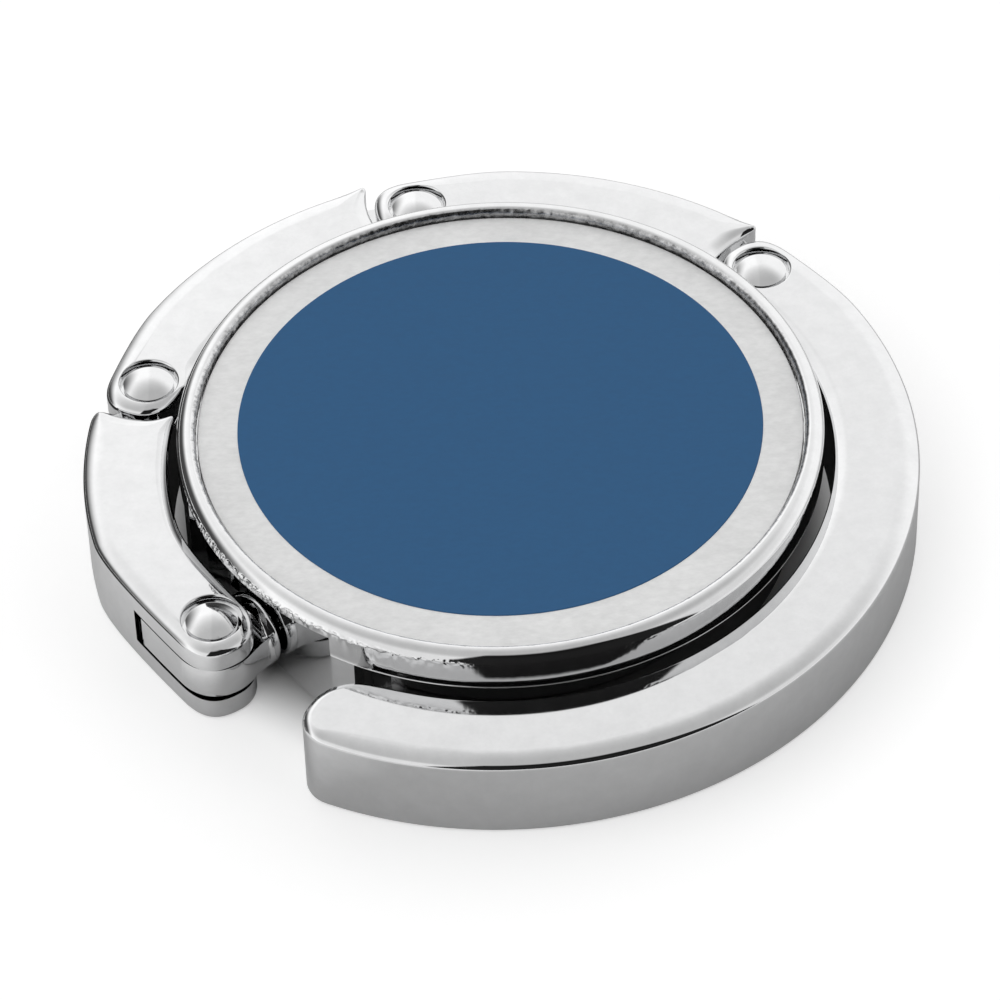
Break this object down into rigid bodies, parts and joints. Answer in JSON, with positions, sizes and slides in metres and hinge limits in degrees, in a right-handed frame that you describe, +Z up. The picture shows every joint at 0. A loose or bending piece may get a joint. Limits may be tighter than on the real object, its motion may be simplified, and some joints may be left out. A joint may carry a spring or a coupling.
{
  "type": "folding purse hook",
  "caption": "Round table-edge bag hook: a plated disc with a plain blue insert, ringed by a swivelling chain of hinged links and a hook arm.",
  "frame": {"origin": "centre of the disc on the table plane, where the rubber pad and the ring's underside rest", "axes": "+Z up out of the disc's printed face; +X toward the closed ring's side opposite the second link's rivet side, +Y away from the hook's free end"},
  "size_m": [0.045, 0.045, 0.0076],
  "materials": {
    "plating": "polished bright plating on die-cast zinc",
    "adhesive": "thin adhesive layer",
    "insert_metal": "fine satin grain",
    "blue_print": "flat printed ink",
    "pad_rubber": "matt anti-slip rubber",
    "steel": "plain steel",
    "magnet_nickel": "nickel-plated magnet"
  },
  "bodies": {
    "disc": {"disc_body": "plating", "insert_adhesive": "adhesive", "insert_plate": "insert_metal", "print_layer": "blue_print", "anti_slip_pad": "pad_rubber", "pad_adhesive": "adhesive", "swivel_washer": "steel", "lug_magnet": "magnet_nickel"},
    "knuckle": {"swivel_knuckle": "plating"},
    "link_a": {"link_1": "plating", "rivet_1": "plating"},
    "link_b": {"link_2": "plating", "rivet_2": "plating"},
    "link_c": {"link_3": "plating", "rivet_3": "plating"},
    "hook": {"hook_arm": "plating", "rivet_4": "plating", "tip_magnet": "magnet_nickel"}
  },
  "joints": [
    {"name": "ring_swivel", "type": "hinge", "parent": "disc", "child": "knuckle", "pos_m": [-0.01297, -0.00988, 0.0026], "axis": [-0.7955, -0.606, 0], "continuous": true},
    {"name": "first_link_hinge", "type": "hinge", "parent": "knuckle", "child": "link_a", "pos_m": [-0.01535, -0.0117, 0.0026], "axis": [0, 0, 1], "range_deg": [0, 40]},
    {"name": "second_link_hinge", "type": "hinge", "parent": "link_a", "child": "link_b", "pos_m": [-0.01914, 0.00604, 0.0026], "axis": [0, 0, 1], "range_deg": [0, 52]},
    {"name": "third_link_hinge", "type": "hinge", "parent": "link_b", "child": "link_c", "pos_m": [-0.00434, 0.01959, 0.0026], "axis": [0, 0, 1], "range_deg": [0, 52]},
    {"name": "hook_arm_hinge", "type": "hinge", "parent": "link_c", "child": "hook", "pos_m": [0.0148, 0.01356, 0.0026], "axis": [0, 0, 1], "range_deg": [0, 52]}
  ],
  "couplings": [
    {"joint": "second_link_hinge", "follows": "hook_arm_hinge", "ratio": 0.6},
    {"joint": "first_link_hinge", "follows": "hook_arm_hinge", "ratio": 0.45}
  ]
}
